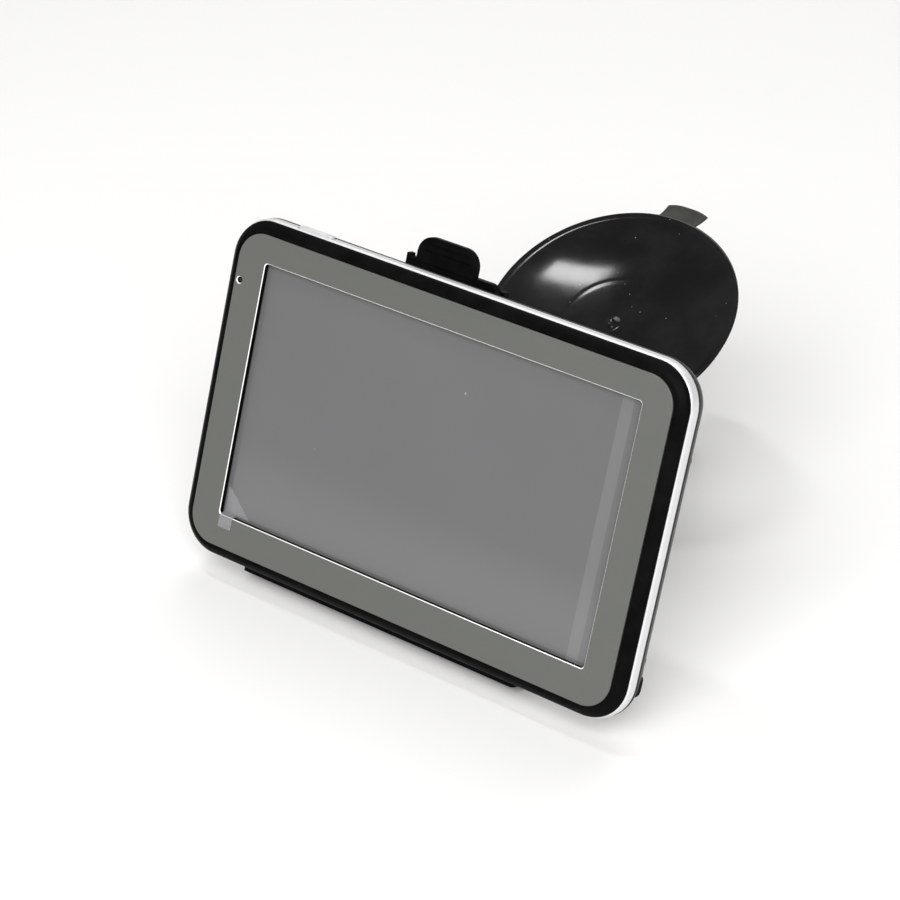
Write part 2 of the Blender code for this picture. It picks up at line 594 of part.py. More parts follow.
def lever(cup):
    """The locking lever, drawn locked along the dome and then swung out to its free rest place."""
    py, pz = LEVER_AT
    swing = Matrix.Rotation(-LEVER_SWING, 3, "X")
    pivot = Vector((0, py, pz))

    def swung(points):
        turned_points = [pivot + swing @ (Vector((0, a, b)) - pivot) for a, b in points]
        return [(p.y, p.z) for p in turned_points]

    blade = [(py + 1, pz + 1.6), (17.0, pz - 1.8), (24.5, -14.0), (30.6, -8.0), (32.4, -10.4), (25.5, -18.0),
             (17.5, pz - 6.0), (py - 1, pz - 3.4)]
    made = put("lever", prism(swung(blade), "X", -3.9, 3.9), "black_plastic", cup, pivot)
    paddle = [(21.5, -16.7), (24.5, -14.0), (30.6, -8.0), (32.4, -10.4), (25.5, -18.0), (22.2, -20.4)]
    wide = put("lever_paddle", prism(swung(paddle), "X", -6.0, 6.0), None, cup)
    hub = put("lever_hub", rod("X", (0, py, pz), 3.2, 3.8, 20), None, cup)
    finger_tip = [(py - 3.9, pz + 0.8), (py, pz + 2.0), (py, pz - 2.0), (py - 3.9, pz - 0.5)]
    finger = put("lever_finger", prism(swung_finger(finger_tip), "X", -3.6, 3.6), None, cup)
    bore = put("lever_bore", rod("X", (0, py, pz), 1.7, 9, 14), None, cup)
    join(made, wide, hub, finger)
    cut(made, bore)
    pin = rod("X", (0, py, pz), 1.4, 10.5, 14)
    put("lever_pin", pin, "steel", cup, pivot)


def swung_finger(points):
    """Half the lever's swing: the finger is level when the lever is half way."""
    py, pz = LEVER_AT
    turn = Matrix.Rotation(-LEVER_SWING / 2, 3, "X")
    pivot = Vector((0, py, pz))
    places = [pivot + turn @ (Vector((0, a, b)) - pivot) for a, b in points]
    return [(p.y, p.z) for p in places]


def dish(radius):
    """Depth of the suction face below the flat sealing lip, at a distance from the middle."""
    share = min(radius / SEAL_R, 1.0)
    return CUP_DEPTH * (1 - share ** 2.4)


def suction_parts(cup):
    """The rubber cup with its peel tab, the plunger that pulls it, and the return spring."""
    steps = 7
    face = [(CUP_R, 0)] + [(SEAL_R * k / steps, -dish(SEAL_R * k / steps)) for k in range(steps, -1, -1)]
    back = [(0, -6.0), (14, -6.0), (25, -5.4), (30, -3.6), (CUP_R - 0.3, -1.1)]
    made = turned("suction_cup", face + back, "black_rubber", cup, sides=44, closed=True)
    corners = [(-6.0, 32.9, 0), (5.3, 32.9, 0), (8.3, 38.0, 1.5), (-4.4, 38.0, 3.0)]
    tab = put("peel_tab", prism(rounded(corners), "Z", -1.6, -0.4), None, cup)
    join(made, tab)
    plunger = [(12.8, -6.3), (12.8, -8.0), (2.4, -8.0), (2.4, -17.6), (4.8, -17.6), (4.8, -18.8)]
    turned("plunger", plunger, "black_plastic", cup)
    radius, turns, steps = 8.0, 3, 12
    count = turns * steps
    curve = bpy.data.curves.new("return_spring", "CURVE")
    curve.dimensions = "3D"
    curve.bevel_depth = 0.4 * MM
    curve.bevel_resolution = 1
    curve.use_fill_caps = True
    line = curve.splines.new("POLY")
    line.points.add(count)
    top, bottom = -8.9, -12.1
    for k in range(count + 1):
        angle = 2 * math.pi * k / steps
        height = top + (bottom - top) * k / count
        line.points[k].co = (radius * math.cos(angle) * MM, radius * math.sin(angle) * MM, height * MM, 1)
    spring = bpy.data.objects.new("return_spring", curve)
    curve.materials.append(material("steel", *FINISHES["steel"]))
    spring.parent = cup
    bpy.data.collections["portable_gps_navigator"].objects.link(spring)


def build():
    empty_scene()
    device = frame("device_frame", WINDOW_AT, -LEAN)
    arm = frame("arm_frame", BALL_AT, ARM_SLOPE)
    cup = frame("cup_frame", CUP_AT, CUP_TILT)
    for make in (bezel_plate, front_housing, mid_frame, rear_cover, case_screws, power_button, screen,
                 electronics, ports, stylus, cradle, cradle_latch, head_plate, swivel_ball):
        make(device)
    for make in (ball_seat, clamp_ring, support_arm):
        make(arm)
    for make in (knuckle, base_cap, lever, suction_parts):
        make(cup)


build()
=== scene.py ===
"""Looks of the portable GPS navigator on its suction mount: finer meshes, materials, light and camera.

Pieces are drawn in millimetres in the three tilted frames the CAD uses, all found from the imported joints:
  DEVICE  origin at the middle of the display window, X right, Y into the body, Z up the face
  ARM     origin at the ball's centre, Y along the arm to the knuckle, Z across it
  CUP     origin at the middle of the suction rim, Z out of the suction face
"""

import json
import math

import bmesh
import bpy
from mathutils import Matrix, Quaternion, Vector


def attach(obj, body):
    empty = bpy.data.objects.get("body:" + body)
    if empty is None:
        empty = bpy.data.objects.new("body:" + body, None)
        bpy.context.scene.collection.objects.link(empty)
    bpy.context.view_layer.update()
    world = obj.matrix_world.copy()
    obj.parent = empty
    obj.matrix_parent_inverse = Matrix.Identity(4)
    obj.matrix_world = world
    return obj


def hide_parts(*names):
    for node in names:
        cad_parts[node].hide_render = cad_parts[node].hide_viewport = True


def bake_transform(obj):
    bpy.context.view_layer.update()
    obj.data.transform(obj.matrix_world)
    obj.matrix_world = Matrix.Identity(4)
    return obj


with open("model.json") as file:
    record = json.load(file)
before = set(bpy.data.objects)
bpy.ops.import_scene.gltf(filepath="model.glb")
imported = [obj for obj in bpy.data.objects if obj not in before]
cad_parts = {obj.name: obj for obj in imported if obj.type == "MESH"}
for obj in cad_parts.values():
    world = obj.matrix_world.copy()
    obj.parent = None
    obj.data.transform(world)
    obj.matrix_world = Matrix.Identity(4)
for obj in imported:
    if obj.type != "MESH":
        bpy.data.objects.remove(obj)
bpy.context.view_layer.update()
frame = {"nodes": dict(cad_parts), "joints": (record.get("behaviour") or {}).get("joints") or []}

MM = 0.001
GAP = 0.3  # space between neighbouring solids, as in the CAD

# ---------------------------------------------------------------- sizes, in millimetres
WINDOW_W, WINDOW_H, WINDOW_R = 112.0, 65.0, 1.0
BODY_W, BODY_H, BODY_R, BODY_UP = 129.12, 80.64, 7.4, -0.6
PLATE_W, PLATE_H, PLATE_R, PLATE_T, PLATE_LEFT, PLATE_UP = 128.5, 80.3, 7.2, 0.6, -0.3, -0.77
SEAM_FRONT, SEAM_REAR, BODY_T = 2.2, 5.3, 12.5
SCREEN_DEPTH, FILM_DEPTH, FILM_T = 1.9, 1.78, 0.07
CHAMFER = 0.17
LED_AT = (-63.0, 26.3)
BUTTON_X = (-50.4, -40.0)
SCREWS = [(side * 62.7, z) for z in (20.0, -29.0) for side in (-1, 1)]
USB_Z, CARD_Z, JACK_Z, JACK_Y = 10.0, -8.0, -22.0, 8.3
STYLUS_Y, STYLUS_Z = 8.6, -34.6
SPEAKER_AT = (47.0, 12.0)

MOUNT_X = -8.0
CRADLE_FRONT, CRADLE_BACK = 13.0, 15.2
LIP_TOP, LIP_BOTTOM, LIP_FRONT, LIP_HALF = -44.6, -46.6, 6.5, 42.5
LATCH_HALF = 13.5
BALL_DEPTH, BALL_UP, BALL_R, STUB_R = 30.5, -15.0, 8.5, 3.0
SEAT_OUT = BALL_R + 2.1
SOCKET_R, RING_R = 13.0, 15.6

CUP_R, SEAL_R, CUP_DEPTH = 34.25, 32.4, 4.0
SKIN_T, SKIRT_IN, DISC_R = 0.8, 20.0, 13.8
LEVER_Y, LEVER_Z = 8.0, -18.0
LEVER_SWING = math.radians(50.0)
KNUCKLE_R, EYE_HALF, EAR_IN, EAR_OUT, BOLT_R = 10.0, 4.2, 5.4, 9.4, 2.5


# ---------------------------------------------------------------- frames
JOINTS = {joint["name"]: joint for joint in frame["joints"]}


def direction(joint):
    """A joint's axis, as a unit vector."""
    return Vector(JOINTS[joint]["axis"]).normalized()


def place(joint):
    """A joint's position, in metres."""
    return Vector(JOINTS[joint]["pos_m"])


def local_frame(known, where, y_axis):
    """Matrix from millimetres in a tilted frame to metres; the frame's point `where` lies at `known`."""
    x_axis = Vector((1, 0, 0))
    turn = Matrix((x_axis, y_axis, x_axis.cross(y_axis))).transposed().to_4x4()
    return Matrix.Translation(known) @ turn @ Matrix.Scale(MM, 4) @ Matrix.Translation(-Vector(where))


DEVICE = local_frame(place("ball_tilt"), (MOUNT_X, BALL_DEPTH, BALL_UP), direction("ball_roll"))
ARM = local_frame(place("ball_tilt"), (0, 0, 0), direction("clamp_ring_turn"))
OUT_OF_CUP = -direction("plunger_pull")
CUP = local_frame(place("lever_swing"), (0, LEVER_Y, LEVER_Z), OUT_OF_CUP.cross(Vector((1, 0, 0))))
ARM_LENGTH = (place("base_fold") - place("ball_tilt")).length / MM
STALK = -(CUP.inverted() @ place("base_fold")).z


# ---------------------------------------------------------------- materials
class Finish:
    """A Principled material with colour, roughness and bump from patterns in the piece's own space."""

    def __init__(self, name, **constants):
        self.material = bpy.data.materials.new(name)
        self.material.use_nodes = True
        self.nodes = self.material.node_tree.nodes
        self.links = self.material.node_tree.links
        self.shader = self.nodes["Principled BSDF"]
        self.coords = self.nodes.new("ShaderNodeTexCoord").outputs["Object"]
        self.normal = None
        for socket, value in constants.items():
            self.shader.inputs[socket.replace("_", " ")].default_value = value

    def stretched(self, scale):
        """Object coordinates in repeats per metre along X, Y and Z."""
        spread = self.nodes.new("ShaderNodeMapping")
        spread.inputs["Scale"].default_value = scale
        self.links.new(self.coords, spread.inputs["Vector"])
        return spread.outputs["Vector"]

    def noise(self, scale, detail=3.0, roughness=0.55):
        """Cloudy noise from 0 to 1; scale is repeats per metre, one number or three."""
        source = self.nodes.new("ShaderNodeTexNoise")
        source.inputs["Scale"].default_value = 1.0
        source.inputs["Detail"].default_value = detail
        source.inputs["Roughness"].default_value = roughness
        scales = scale if isinstance(scale, tuple) else (scale, scale, scale)
        self.links.new(self.stretched(scales), source.inputs["Vector"])
        return source.outputs["Fac"]

    def cells(self, scale, randomness=1.0):
        """Distance to the nearest of many scattered points, in cell widths."""
        source = self.nodes.new("ShaderNodeTexVoronoi")
        source.inputs["Scale"].default_value = 1.0
        source.inputs["Randomness"].default_value = randomness
        self.links.new(self.stretched((scale, scale, scale)), source.inputs["Vector"])
        return source.outputs["Distance"]

    def remap(self, source, from_low, from_high, to_low=0.0, to_high=1.0):
        """A smooth step from one range of values to another."""
        step = self.nodes.new("ShaderNodeMapRange")
        step.interpolation_type = "SMOOTHSTEP"
        values = (from_low, from_high, to_low, to_high)
        for socket, value in zip(("From Min", "From Max", "To Min", "To Max"), values):
            step.inputs[socket].default_value = value
        self.links.new(source, step.inputs["Value"])
        return step.outputs["Result"]

    def times(self, first, second):
        """The product of two values."""
        step = self.nodes.new("ShaderNodeMath")
        step.operation = "MULTIPLY"
        self.links.new(first, step.inputs[0])
        self.links.new(second, step.inputs[1])
        return step.outputs["Value"]

    def along(self, axis):
        """The coordinate along one axis of the piece's own space, in metres."""
        parts = self.nodes.new("ShaderNodeSeparateXYZ")
        self.links.new(self.coords, parts.inputs["Vector"])
        return parts.outputs[axis]

    def colour(self, first, second, share):
        """Base colour going from first to second with share; with first None it goes on from the last."""
        mix = self.nodes.new("ShaderNodeMix")
        mix.data_type = "RGBA"
        target = self.shader.inputs["Base Color"]
        if first is None:
            self.links.new(target.links[0].from_socket, mix.inputs["A"])
        else:
            mix.inputs["A"].default_value = (*first, 1)
        mix.inputs["B"].default_value = (*second, 1)
        self.links.new(share, mix.inputs["Factor"])
        self.links.new(mix.outputs["Result"], target)
        return self

    def rough(self, source, low, high):
        """Roughness that follows a pattern, from low to high."""
        self.links.new(self.remap(source, 0.3, 0.7, low, high), self.shader.inputs["Roughness"])
        return self

    def bump(self, source, depth):
        """Relief of a pattern, depth in millimetres; each call adds to the last."""
        step = self.nodes.new("ShaderNodeBump")
        step.inputs["Strength"].default_value = 1.0
        step.inputs["Distance"].default_value = depth * MM
        self.links.new(source, step.inputs["Height"])
        if self.normal is not None:
            self.links.new(self.normal, step.inputs["Normal"])
        self.normal = step.outputs["Normal"]
        self.links.new(self.normal, self.shader.inputs["Normal"])
        return self


def brushed_plate():
    """Grey metallic paint with fine brush lines along X."""
    made = Finish("brushed_plate", Metallic=0.35, Specular_IOR_Level=0.4)
    lines = made.noise((60, 9000, 9000), detail=4, roughness=0.7)
    clouds = made.noise(60)
    made.colour((0.112, 0.117, 0.107), (0.132, 0.137, 0.126), lines)
    made.colour(None, (0.128, 0.131, 0.122), made.remap(clouds, 0.35, 0.75, 0.0, 0.5))
    made.rough(lines, 0.42, 0.55)
    return made.bump(lines, 0.004).material


def polished_edge():
    """The bright bevel round the window."""
    made = Finish("polished_edge", Metallic=0.25)
    lines = made.noise(4000, detail=2)
    made.colour((0.93, 0.93, 0.92), (0.99, 0.99, 0.98), lines)
    return made.rough(lines, 0.22, 0.34).material


def moulded_plastic(name, dark, light, shine, gloss, grain_depth=0.010, grain=6500):
    """Black moulded plastic: fine spark-eroded grain, faint handling marks."""
    made = Finish(name, Specular_IOR_Level=gloss)
    marks = made.noise(90, detail=5, roughness=0.65)
    made.colour((dark, dark, dark * 0.98), (light, light, light * 0.98), made.remap(marks, 0.3, 0.75))
    made.rough(marks, shine - 0.06, shine + 0.08)
    return made.bump(made.cells(grain), grain_depth).bump(made.noise(700), 0.008).material


def silver_paint():
    """Satin silver lacquer with fine flakes."""
    made = Finish("silver_paint", Metallic=0.30, Coat_Weight=0.25, Coat_Roughness=0.25)
    flakes = made.cells(9000)
    clouds = made.noise(120)
    made.colour((0.60, 0.60, 0.61), (0.78, 0.78, 0.79), flakes)
    made.colour(None, (0.62, 0.62, 0.62), made.remap(clouds, 0.4, 0.8, 0.0, 0.35))
    made.rough(clouds, 0.28, 0.38)
    return made.bump(flakes, 0.003).material


def display_face(name, coat):
    """The unlit display: neutral grey, a lighter margin at the right, a little dust."""
    made = Finish(name, Coat_Weight=coat, Coat_Roughness=0.03, Specular_IOR_Level=0.3)
    clouds = made.noise(25, detail=2)
    made.colour((0.112, 0.113, 0.115), (0.119, 0.120, 0.123), clouds)
    x, edge = made.along("X"), WINDOW_W / 2
    from_left = made.remap(x, (edge - 6.3) * MM, (edge - 6.1) * MM)
    from_right = made.remap(x, (edge - 2.9) * MM, (edge - 3.1) * MM)
    made.colour(None, (0.146, 0.145, 0.149), made.times(from_left, from_right))
    dust = made.remap(made.cells(110), 0.035, 0.015)
    made.colour(None, (0.34, 0.34, 0.34), dust)
    made.rough(clouds, 0.34, 0.38)
    return made.material


def film_label():
    """The adhesive corner of the film, a little cloudier than the rest."""
    made = Finish("film_label", Alpha=0.30)
    waves = made.noise(160)
    made.colour((0.34, 0.34, 0.36), (0.40, 0.40, 0.42), waves)
    made.rough(waves, 0.30, 0.45)
    made.material.surface_render_method = "BLENDED"
    return made.bump(waves, 0.03).material


def glossy_rubber():
    """The suction face: smooth soft rubber, slightly greasy, with a fine bloom of dust."""
    made = Finish("glossy_rubber", Specular_IOR_Level=0.30)
    bloom = made.noise(55, detail=5, roughness=0.6)
    made.colour((0.003, 0.003, 0.003), (0.008, 0.008, 0.008), made.remap(bloom, 0.35, 0.7))
    made.colour(None, (0.30, 0.30, 0.30), made.remap(made.cells(260), 0.05, 0.02, 0.0, 0.8))
    made.rough(bloom, 0.08, 0.13)
    return made.bump(made.noise(380), 0.004).material


def matte_rubber():
    """Matte dark rubber with a fine grain."""
    made = Finish("matte_rubber", Specular_IOR_Level=0.35)
    bloom = made.noise(180, detail=5)
    made.colour((0.018, 0.018, 0.016), (0.038, 0.038, 0.033), made.remap(bloom, 0.3, 0.7))
    made.rough(bloom, 0.55, 0.70)
    return made.bump(made.cells(5000), 0.012).material


def metal(name, colour, shine, brushed=(300, 300, 6000)):
    """Bare metal with faint drawn lines."""
    made = Finish(name, Metallic=1.0)
    lines = made.noise(brushed, detail=4, roughness=0.7)
    made.colour(tuple(0.75 * c for c in colour), colour, lines)
    made.rough(lines, shine - 0.05, shine + 0.10)
    return made.bump(lines, 0.004).material


def circuit_board():
    """Green solder mask over fine copper tracks."""
    made = Finish("circuit_board", Coat_Weight=0.4, Coat_Roughness=0.15)
    tracks = made.remap(made.cells(700, randomness=0.15), 0.42, 0.50)
    made.colour((0.010, 0.090, 0.035), (0.030, 0.180, 0.070), tracks)
    made.rough(tracks, 0.30, 0.42)
    return made.bump(tracks, 0.03).material


def plain_mix(name, first, second, scale, shine, depth):
    """A simple two-tone surface with fine relief, for pieces inside the case."""
    made = Finish(name)
    clouds = made.noise(scale, detail=4)
    made.colour(first, second, clouds)
    made.rough(clouds, shine - 0.05, shine + 0.05)
    return made.bump(clouds, depth).material


def pale_floor():
    """The studio's off-white floor."""
    made = Finish("pale_floor", Specular_IOR_Level=0.2)
    clouds = made.noise(3, detail=2)
    made.colour((0.75, 0.747, 0.738), (0.77, 0.767, 0.758), clouds)
    made.rough(clouds, 0.6, 0.7)
    return made.bump(made.noise(900), 0.01).material


PLATE, BRIGHT, SILVER = brushed_plate(), polished_edge(), silver_paint()
JET = moulded_plastic("jet_plastic", 0.002, 0.005, 0.36, gloss=0.02, grain_depth=0.006)
SATIN = moulded_plastic("satin_plastic", 0.010, 0.018, 0.32, gloss=0.34, grain_depth=0.006)
GRAINED = moulded_plastic("grained_plastic", 0.012, 0.022, 0.42, gloss=0.26, grain_depth=0.030, grain=3200)
# the film is drawn opaque, in the grey of the display it lies on
GLASS, FILM, LABEL = display_face("display_glass", 0.6), display_face("clear_film", 0.9), film_label()
DISH_RUBBER, TAB_RUBBER = glossy_rubber(), matte_rubber()
STEEL = metal("black_steel", (0.16, 0.16, 0.17), 0.32)
TINNED = metal("tinned_sheet", (0.62, 0.62, 0.60), 0.30)
BOARD = circuit_board()
CERAMIC = plain_mix("ceramic", (0.62, 0.58, 0.50), (0.74, 0.70, 0.62), 900, 0.55, 0.02)
WRAP = plain_mix("battery_wrap", (0.05, 0.07, 0.10), (0.08, 0.10, 0.14), 300, 0.35, 0.03)
DISPLAY_BACK = plain_mix("display_back", (0.30, 0.30, 0.30), (0.42, 0.42, 0.41), 250, 0.40, 0.02)
LENS = plain_mix("led_lens", (0.008, 0.008, 0.008), (0.018, 0.018, 0.018), 900, 0.20, 0.01)


# ---------------------------------------------------------------- mesh helpers
def outline(half_w, half_h, radius, depth, middle_x=0.0, middle_z=0.0, steps=12):
    """A rounded rectangle of points across the device frame, at a depth."""
    points = []
    for corner, (sx, sz) in enumerate(((1, 1), (-1, 1), (-1, -1), (1, -1))):
        for k in range(steps + 1):
            angle = math.pi / 2 * (corner + k / steps)
            points.append((
                middle_x + sx * (half_w - radius) + radius * math.cos(angle),
                depth,
                middle_z + sz * (half_h - radius) + radius * math.sin(angle),
            ))
    return points


def body_loop(offset, depth):
    """The case's outline, moved outward by an offset, at a depth."""
    return outline(BODY_W / 2 + offset, BODY_H / 2 + offset, BODY_R + offset, depth, 0, BODY_UP)


def plate_loop(offset, depth):
    """The same for the face plate."""
    return outline(
        PLATE_W / 2 + offset, PLATE_H / 2 + offset, PLATE_R + offset, depth, PLATE_LEFT, PLATE_UP)


def window_loop(offset, depth):
    """The same for the display window, whose corners keep their radius."""
    return outline(WINDOW_W / 2 + offset, WINDOW_H / 2 + offset, WINDOW_R, depth)


def curved(points, steps=4):
    """A smooth run of points through the ones given (Catmull-Rom)."""
    ends = [points[0], *points, points[-1]]
    run = []
    for a, b, c, d in zip(ends, ends[1:], ends[2:], ends[3:]):
        for k in range(steps):
            t = k / steps
            run.append(tuple(
                0.5 * (2 * q + (r - p) * t + (2 * p - 5 * q + 4 * r - s) * t * t
                       + (3 * q - p - 3 * r + s) * t ** 3)
                for p, q, r, s in zip(a, b, c, d)))
    return run + [points[-1]]


def loft(loops, ring=False, finish=()):
    """A skin through loops of equal length; finish pairs a band's number with its material's index."""
    bm = bmesh.new()
    rows = [[bm.verts.new(p) for p in loop] for loop in loops]
    pairs = list(zip(rows, rows[1:]))
    if ring:
        pairs.append((rows[-1], rows[0]))
    else:
        bm.faces.new(rows[0])
        bm.faces.new(rows[-1])
    index_of = dict(finish)
    for band, (a, b) in enumerate(pairs):
        for i in range(len(a)):
            j = (i + 1) % len(a)
            bm.faces.new((a[i], a[j], b[j], b[i])).material_index = index_of.get(band, 0)
    return bm


ALONG = {
    "X": Matrix.Rotation(math.pi / 2, 4, "Y"),
    "Y": Matrix.Rotation(-math.pi / 2, 4, "X"),
    "Z": Matrix.Identity(4),
}


def turned(profile, axis="Z", at=(0, 0, 0), sides=96, ring=False):
    """A turned solid from points (radius, height); a ring's profile closes on itself."""
    if not ring:
        profile = [(0, profile[0][1]), *profile, (0, profile[-1][1])]
    bm = bmesh.new()
    rows = []
    for radius, height in profile:
        count = sides if radius > 0 else 1
        angles = [2 * math.pi * k / sides for k in range(count)]
        rows.append([bm.verts.new((radius * math.cos(a), radius * math.sin(a), height)) for a in angles])
    pairs = list(zip(rows, rows[1:]))
    if ring:
        pairs.append((rows[-1], rows[0]))
    for a, b in pairs:
        for k in range(sides):
            j = (k + 1) % sides
            corners = (a[k % len(a)], a[j % len(a)], b[j % len(b)], b[k % len(b)])
            corners = list(dict.fromkeys(corners))
            if len(corners) > 2:
                bm.faces.new(corners)
    bm.transform(Matrix.Translation(at) @ ALONG[axis])
    return bm


def rod(axis, middle, radius, reach, sides=64):
    """A round bar along axis, reaching both ways from its middle."""
    return turned([(radius, -reach), (radius, reach)], axis, middle, sides)


def prism(flat, axis, low, high):
    """A slab: a flat outline given in the two other axes, in X, Y, Z order, from low to high along axis."""
    spot = {
        "X": lambda a, b, c: (c, a, b),
        "Y": lambda a, b, c: (a, c, b),
        "Z": lambda a, b, c: (a, b, c),
    }[axis]
    return loft([[spot(a, b, low) for a, b in flat], [spot(a, b, high) for a, b in flat]])


def sheet(rows):
    """An open skin over a grid of points."""
    bm = bmesh.new()
    grid = [[bm.verts.new(p) for p in row] for row in rows]
    for a, b in zip(grid, grid[1:]):
        for i in range(len(a) - 1):
            bm.faces.new((a[i], a[i + 1], b[i + 1], b[i]))
    return bm


def box(x, y, z):
    """A block between two values along each axis."""
    return prism([(x[0], y[0]), (x[1], y[0]), (x[1], y[1]), (x[0], y[1])], "Z", z[0], z[1])


def rounded(corners, steps=8):
    """A flat outline from corners (a, b, radius), each rounded with an arc."""
    points = []
    for i, (a, b, radius) in enumerate(corners):
        here = Vector((a, b))
        back = (Vector(corners[i - 1][:2]) - here).normalized()
        ahead = (Vector(corners[(i + 1) % len(corners)][:2]) - here).normalized()
        if radius == 0:
            points.append(tuple(here))
            continue
        half = back.angle(ahead) / 2
        centre = here + (back + ahead).normalized() * (radius / math.sin(half))
        start = here + back * (radius / math.tan(half)) - centre
        turn = start.angle_signed(here + ahead * (radius / math.tan(half)) - centre)
        for k in range(steps + 1):
            spun = start.copy()
            spun.rotate(Matrix.Rotation(-turn * k / steps, 2))
            points.append(tuple(centre + spun))
    return points


def soft_box(x, y, z, radius, axis="Y"):
    """A block whose four edges along axis are rounded."""
    spans = {"X": (y, z, x), "Y": (x, z, y), "Z": (x, y, z)}[axis]
    (a0, a1), (b0, b1), (low, high) = spans
    corners = [(a0, b0, radius), (a1, b0, radius), (a1, b1, radius), (a0, b1, radius)]
    return prism(rounded(corners, 6), axis, low, high)


def sphere_arc(radius, start, end, steps):
    """Profile points on a sphere, between two angles from its +height pole, in degrees."""
    angles = [math.radians(start + (end - start) * k / steps) for k in range(steps + 1)]
    return [(radius * math.sin(a), radius * math.cos(a)) for a in angles]


def thing(name, bm, where, *materials):
    """An object from a bmesh drawn in a local frame."""
    bm.transform(where)
    bmesh.ops.recalc_face_normals(bm, faces=bm.faces)
    mesh = bpy.data.meshes.new(name)
    bm.to_mesh(mesh)
    bm.free()
    for material in materials:
        mesh.materials.append(material)
    made = bpy.data.objects.new(name, mesh)
    bpy.context.scene.collection.objects.link(made)
    return made


def apply_steps(made):
    """Replaces an object's mesh by what its modifiers make of it."""
    graph = bpy.context.evaluated_depsgraph_get()
    done = bpy.data.meshes.new_from_object(made.evaluated_get(graph), depsgraph=graph)
    made.modifiers.clear()
    made.data = done


def shaped(made, where, join=(), cut=(), edge=0.0, steps=2):
    """Joins and cuts an object with bmeshes drawn in the same frame, then rounds its sharp edges."""
    tools = []
    for operation, solids in (("UNION", join), ("DIFFERENCE", cut)):
        for solid in solids:
            tool = thing("tool", solid, where, *made.data.materials)
            step = made.modifiers.new("shape", "BOOLEAN")
            step.operation = operation
            step.object = tool
            tools.append(tool)
    apply_steps(made)
    for tool in tools:
        bpy.data.objects.remove(tool)
    if edge:
        rounding = made.modifiers.new("edges", "BEVEL")
        rounding.width = edge * MM
        rounding.segments = steps
        rounding.limit_method = "ANGLE"
        rounding.angle_limit = math.radians(32)
        rounding.miter_outer = "MITER_ARC"
        apply_steps(made)
    return made


def at_mount(flat, up=0.0):
    """A flat outline moved from the mount's middle line to the device frame."""
    return [(MOUNT_X + a, up + b) for a, b in flat]


def finished(made, body, node, crease=32):
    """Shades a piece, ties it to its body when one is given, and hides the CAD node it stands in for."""
    mesh = made.data
    mesh.polygons.foreach_set("use_smooth", [True] * len(mesh.polygons))
    mesh.set_sharp_from_angle(angle=math.radians(crease))
    even = made.modifiers.new("even_normals", "WEIGHTED_NORMAL")
    even.keep_sharp = True
    apply_steps(made)
    if body:
        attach(made, body)
    if node:
        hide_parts(node)


# ---------------------------------------------------------------- the navigator's case
def face_plate():
    """The brushed plate with its bevelled window edge and the status light's hole."""
    loops = [
        plate_loop(-0.12, 0), plate_loop(0, 0.12), plate_loop(0, PLATE_T),
        window_loop(0, PLATE_T), window_loop(0, CHAMFER), window_loop(CHAMFER, 0),
    ]
    made = thing("face_plate", loft(loops, ring=True, finish=((3, 2), (4, 1))), DEVICE, PLATE, BRIGHT, JET)
    x, z = LED_AT
    hole = turned([(1.35, -0.5), (0.78, 0.25), (0.78, 2.0)], "Y", (x, 0, z), 48)
    # the hole's wall behind its bright bevel takes the jet black plastic: painted shade inside the hole,
    # not the plate's own colour
    for face in hole.faces:
        face.material_index = 1 if face.calc_center_median().y < 0.2 else 2
    finished(shaped(made, DEVICE, cut=[hole]), "navigator", "bezel_plate", crease=20)


def front_rim():
    """The black frame: a rounded rim outside the plate, and the wall of the window's recess."""
    section = curved([(0.55, 0.14), (1.2, 0.30), (2.05, 0.9), (2.62, 1.5), (2.85, SEAM_FRONT)], 5)
    loops = [plate_loop(0.15, 0.5), plate_loop(0.22, 0.2)] + [body_loop(a, y) for a, y in section]
    loops += [
        body_loop(-1.0, SEAM_FRONT), body_loop(-1.0, 1.6),
        window_loop(0.1, 1.6), window_loop(0.1, PLATE_T + 0.05), plate_loop(0.15, PLATE_T + 0.05),
    ]
    made = thing("front_rim", loft(loops, ring=True), DEVICE, JET)
    x, z = LED_AT
    hole = rod("Y", (x, 0, z), 0.9, 3)
    finished(shaped(made, DEVICE, cut=[hole]), "navigator", "front_housing", crease=40)


def silver_band():
    """The band round the case's side, notched for the power button."""
    front, rear = SEAM_FRONT + GAP / 2, SEAM_REAR - GAP / 2
    bulge = [(2.8, front), (3.1, front + 0.3), (3.25, front + 1.0), (3.3, rear - 0.4), (3.2, rear)]
    loops = [body_loop(a, y) for a, y in curved(bulge, 5)] + [body_loop(1.0, rear), body_loop(1.0, front)]
    made = thing("silver_band", loft(loops, ring=True), DEVICE, SILVER)
    low, high = BUTTON_X
    notch = soft_box((low - GAP, high + GAP), (2.75, 7), (36, 50), 0.4, "Z")
    finished(shaped(made, DEVICE, cut=[notch]), "navigator", "mid_frame", crease=40)


def button_cap():
    """The power button on the top edge, with a ridge along its crest."""
    low, high = BUTTON_X
    crest = BODY_UP + BODY_H / 2 + 3.78
    cap = soft_box((low, high), (3.0, 5.1), (38.9, crest), 0.7, "Z")
    made = thing("power_button_cap", cap, DEVICE, SILVER)
    ridge = soft_box((low + 2.4, high - 2.4), (3.75, 4.35), (crest - 0.2, crest + 0.12), 0.28, "Z")
    shaped(made, DEVICE, join=[ridge], edge=0.25, steps=3)
    finished(made, "button", "power_button")


